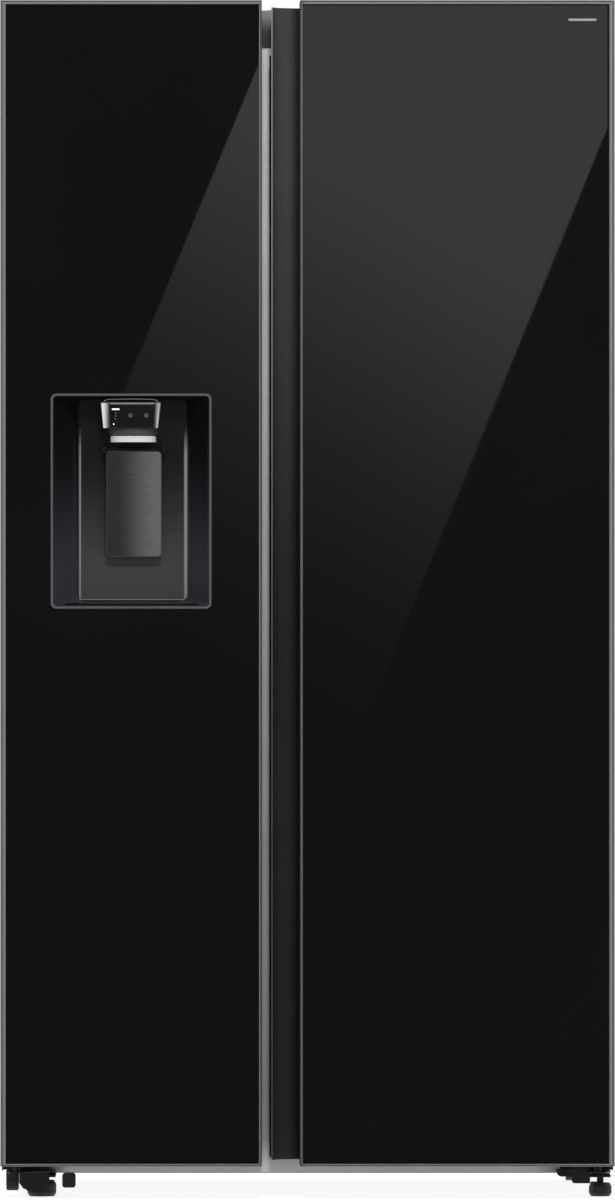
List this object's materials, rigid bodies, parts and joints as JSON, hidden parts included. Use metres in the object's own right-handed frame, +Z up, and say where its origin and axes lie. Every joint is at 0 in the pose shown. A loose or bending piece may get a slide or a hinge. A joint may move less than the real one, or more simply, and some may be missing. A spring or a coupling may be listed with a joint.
{
  "type": "side by side refrigerator",
  "caption": "Tall two-door refrigerator with dark glass door fronts, a full-height finger groove and a water and ice dispenser recess in the left door.",
  "frame": {"origin": "on the floor, under the middle of the closed refrigerator", "axes": "+Z up, the doors face -Y, +X to the right of someone facing the doors"},
  "size_m": [0.912, 0.716, 1.78],
  "materials": {
    "case_paint": "dark grey painted sheet, fine texture",
    "galvanised_steel": "galvanised sheet",
    "pale_painted_steel": "pale grey satin paint",
    "foam": "rigid insulating foam",
    "white_liner": "white moulded liner",
    "dark_plastic": "dark moulded plastic",
    "door_body": "dark satin door body, foam filled",
    "satin_trim": "satin grey metal trim",
    "black_glass": "black mirror-gloss glass",
    "grip_plastic": "dark satin grip lining",
    "grey_rubber": "grey magnetic seal",
    "brushed_dark_metal": "dark brushed metal",
    "pale_plastic": "pale grey plastic",
    "clear_plastic": "clear moulded plastic",
    "shelf_glass": "toughened shelf glass with a white front rail",
    "bare_aluminium": "bare aluminium tube",
    "black_steel": "black painted steel"
  },
  "bodies": {
    "cabinet": {"outer_case": "case_paint", "back_panel": "galvanised_steel", "base_pan": "galvanised_steel", "machine_cover": "galvanised_steel", "top_hinge_left": "galvanised_steel", "top_hinge_right": "galvanised_steel", "front_frame": "pale_painted_steel", "bottom_rail": "pale_painted_steel", "cabinet_foam": "foam", "freezer_liner": "white_liner", "fridge_liner": "white_liner", "freezer_evaporator_cover": "white_liner", "fridge_duct_cover": "white_liner", "top_hinge_cover": "dark_plastic", "fridge_shelf_top": "shelf_glass", "fridge_shelf_middle": "shelf_glass", "fridge_crisper_cover": "shelf_glass", "freezer_shelf_top": "shelf_glass", "freezer_shelf_middle": "shelf_glass", "freezer_drawer_cover": "shelf_glass", "freezer_evaporator": "bare_aluminium", "bottom_hinge_left": "black_steel", "bottom_hinge_right": "black_steel", "compressor": "black_steel", "condenser": "black_steel"},
    "freezer_door": {"freezer_door_shell": "door_body", "freezer_door_trim": "satin_trim", "freezer_door_glass": "black_glass", "freezer_door_liner": "white_liner", "freezer_door_gasket": "grey_rubber", "dispenser_housing": "dark_plastic", "dispenser_bezel": "satin_trim", "dispenser_head": "satin_trim", "dispenser_panel": "black_glass", "dispenser_spout": "pale_plastic", "ice_bucket": "clear_plastic", "freezer_door_bin_upper": "clear_plastic", "freezer_door_bin_lower": "clear_plastic"},
    "fridge_door": {"fridge_door_shell": "door_body", "fridge_door_trim": "satin_trim", "fridge_door_glass": "black_glass", "fridge_door_grip": "grip_plastic", "fridge_door_liner": "white_liner", "fridge_door_gasket": "grey_rubber", "fridge_door_bin_upper": "clear_plastic", "fridge_door_bin_middle": "clear_plastic", "fridge_door_bin_lower": "clear_plastic"},
    "dispenser_paddle": {"dispenser_paddle": "brushed_dark_metal"},
    "freezer_drawer_upper": {"freezer_drawer_upper": "clear_plastic"},
    "freezer_drawer_lower": {"freezer_drawer_lower": "clear_plastic"},
    "fridge_drawer_upper": {"fridge_drawer_upper": "clear_plastic"},
    "fridge_drawer_lower": {"fridge_drawer_lower": "clear_plastic"},
    "condenser_fan": {"condenser_fan": "dark_plastic"},
    "evaporator_fan": {"evaporator_fan": "dark_plastic"},
    "front_roller_left": {"front_roller_left": "dark_plastic"},
    "front_roller_right": {"front_roller_right": "dark_plastic"},
    "rear_roller_left": {"rear_roller_left": "dark_plastic"},
    "rear_roller_right": {"rear_roller_right": "dark_plastic"},
    "levelling_foot_left": {"levelling_foot_left": "dark_plastic"},
    "levelling_foot_right": {"levelling_foot_right": "dark_plastic"}
  },
  "joints": [
    {"name": "freezer_door_hinge", "type": "hinge", "parent": "cabinet", "child": "freezer_door", "pos_m": [-0.432, -0.3, 0.049], "axis": [0, 0, -1], "range_deg": [0, 120]},
    {"name": "fridge_door_hinge", "type": "hinge", "parent": "cabinet", "child": "fridge_door", "pos_m": [0.432, -0.3, 0.049], "axis": [0, 0, 1], "range_deg": [0, 120]},
    {"name": "dispenser_paddle_pivot", "type": "hinge", "parent": "freezer_door", "child": "dispenser_paddle", "pos_m": [-0.259, -0.315, 1.1135], "axis": [1, 0, 0], "range_deg": [0, 6], "stiffness_Nm_per_rad": 0.4},
    {"name": "freezer_drawer_upper_slide", "type": "slide", "parent": "cabinet", "child": "freezer_drawer_upper", "axis": [0, -1, 0], "range_m": [0, 0.199]},
    {"name": "freezer_drawer_lower_slide", "type": "slide", "parent": "cabinet", "child": "freezer_drawer_lower", "axis": [0, -1, 0], "range_m": [0, 0.199]},
    {"name": "fridge_drawer_upper_slide", "type": "slide", "parent": "cabinet", "child": "fridge_drawer_upper", "axis": [0, -1, 0], "range_m": [0, 0.199]},
    {"name": "fridge_drawer_lower_slide", "type": "slide", "parent": "cabinet", "child": "fridge_drawer_lower", "axis": [0, -1, 0], "range_m": [0, 0.199]},
    {"name": "condenser_fan_spin", "type": "hinge", "parent": "cabinet", "child": "condenser_fan", "pos_m": [0.04, 0.248, 0.165], "axis": [1, 0, 0], "continuous": true},
    {"name": "evaporator_fan_spin", "type": "hinge", "parent": "cabinet", "child": "evaporator_fan", "pos_m": [-0.253, 0.285, 1.13], "axis": [0, 1, 0], "continuous": true},
    {"name": "front_roller_left_spin", "type": "hinge", "parent": "cabinet", "child": "front_roller_left", "pos_m": [-0.441, -0.205, 0.02305], "axis": [1, 0, 0], "continuous": true},
    {"name": "front_roller_right_spin", "type": "hinge", "parent": "cabinet", "child": "front_roller_right", "pos_m": [0.432, -0.205, 0.011], "axis": [1, 0, 0], "continuous": true},
    {"name": "rear_roller_left_spin", "type": "hinge", "parent": "cabinet", "child": "rear_roller_left", "pos_m": [-0.405, 0.3, 0.02], "axis": [1, 0, 0], "continuous": true},
    {"name": "rear_roller_right_spin", "type": "hinge", "parent": "cabinet", "child": "rear_roller_right", "pos_m": [0.405, 0.3, 0.02], "axis": [1, 0, 0], "continuous": true},
    {"name": "levelling_foot_left_screw", "type": "slide", "parent": "cabinet", "child": "levelling_foot_left", "axis": [0, 0, -1], "range_m": [0, 0.012]},
    {"name": "levelling_foot_right_screw", "type": "slide", "parent": "cabinet", "child": "levelling_foot_right", "axis": [0, 0, -1], "range_m": [0, 0.012]}
  ],
  "couplings": [
    {"joint": "freezer_drawer_upper_slide", "follows": "freezer_door_hinge", "m_per_rad": 0.095},
    {"joint": "freezer_drawer_lower_slide", "follows": "freezer_door_hinge", "m_per_rad": 0.095},
    {"joint": "fridge_drawer_upper_slide", "follows": "fridge_door_hinge", "m_per_rad": 0.095},
    {"joint": "fridge_drawer_lower_slide", "follows": "fridge_door_hinge", "m_per_rad": 0.095}
  ]
}
